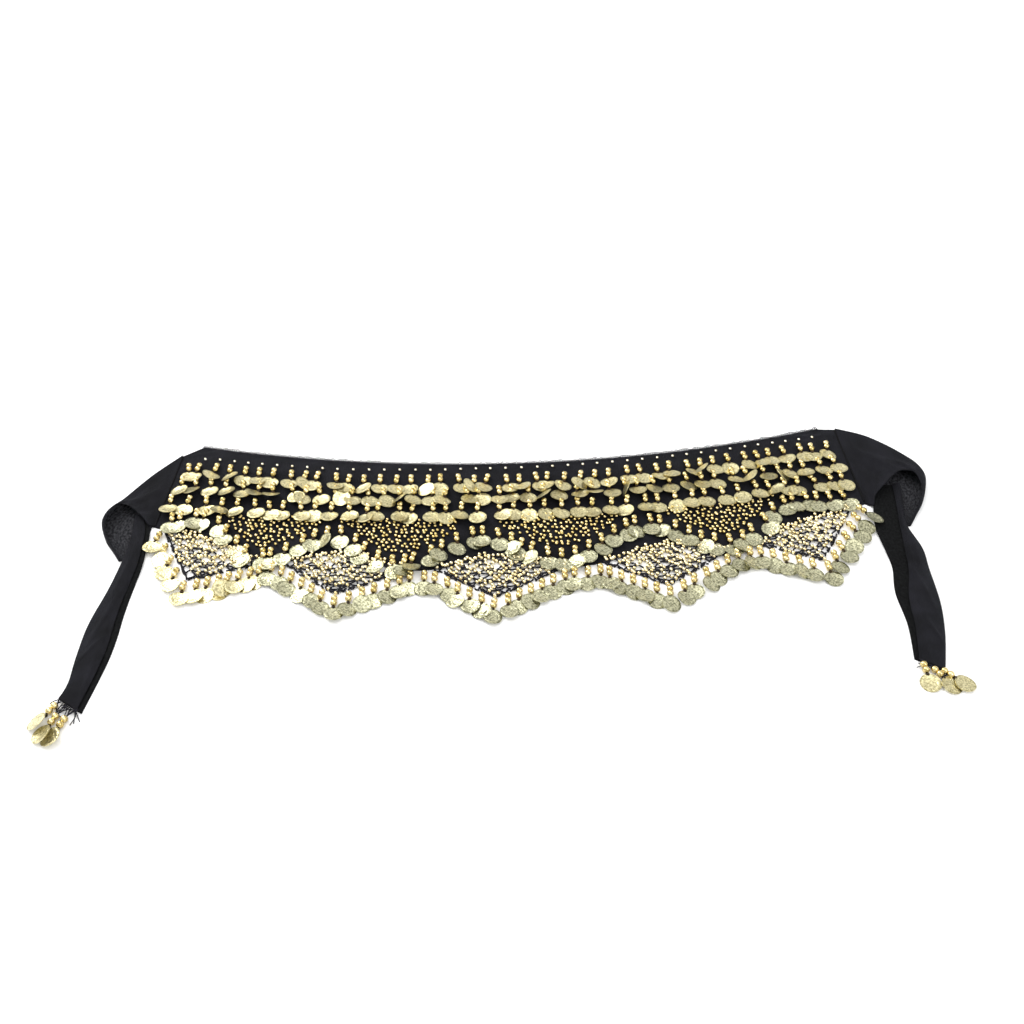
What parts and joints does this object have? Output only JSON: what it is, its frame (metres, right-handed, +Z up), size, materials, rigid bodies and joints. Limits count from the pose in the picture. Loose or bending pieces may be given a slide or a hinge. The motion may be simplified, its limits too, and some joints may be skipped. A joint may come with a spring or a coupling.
{
  "type": "belly dance hip scarf",
  "caption": "Curved cloth hip scarf with rows of beads and stamped coins, fringed crochet net points on its lower edge and two cloth ties, laid out flat.",
  "frame": {"origin": "on the surface that the scarf lies on, under the middle of its bounding box", "axes": "+X along the scarf from the left tie to the right tie, -Y towards the net points and the viewer, +Z up"},
  "size_m": [0.8632, 0.4275, 0.0144],
  "materials": {
    "cloth": "fine black woven cloth with a faint sheen",
    "yarn": "crocheted black yarn",
    "gold": "pale gold stamped coins and shiny gold beads"
  },
  "bodies": {
    "root": {"panel": "cloth", "top_edging": "yarn", "tie_left_band": "cloth", "tie_left_tail": "cloth", "tie_right_band": "cloth", "tie_right_tail": "cloth", "coin_row_1_1": "gold", "coin_row_1_2": "gold", "coin_row_1_3": "gold", "coin_row_2_1": "gold", "coin_row_2_2": "gold", "coin_row_3_1": "gold", "coin_row_3_2": "gold", "coin_row_4_1": "gold", "coin_row_4_2": "gold", "coin_row_4_3": "gold", "coin_row_4_4": "gold", "net_1": "yarn", "net_2": "yarn", "net_3": "yarn", "net_4": "yarn", "net_5": "yarn", "fringe_1": "gold", "fringe_2": "gold", "fringe_3": "gold", "fringe_4": "gold", "fringe_5": "gold", "tip_coins_left": "gold", "tip_coins_right": "gold"}
  },
  "joints": []
}
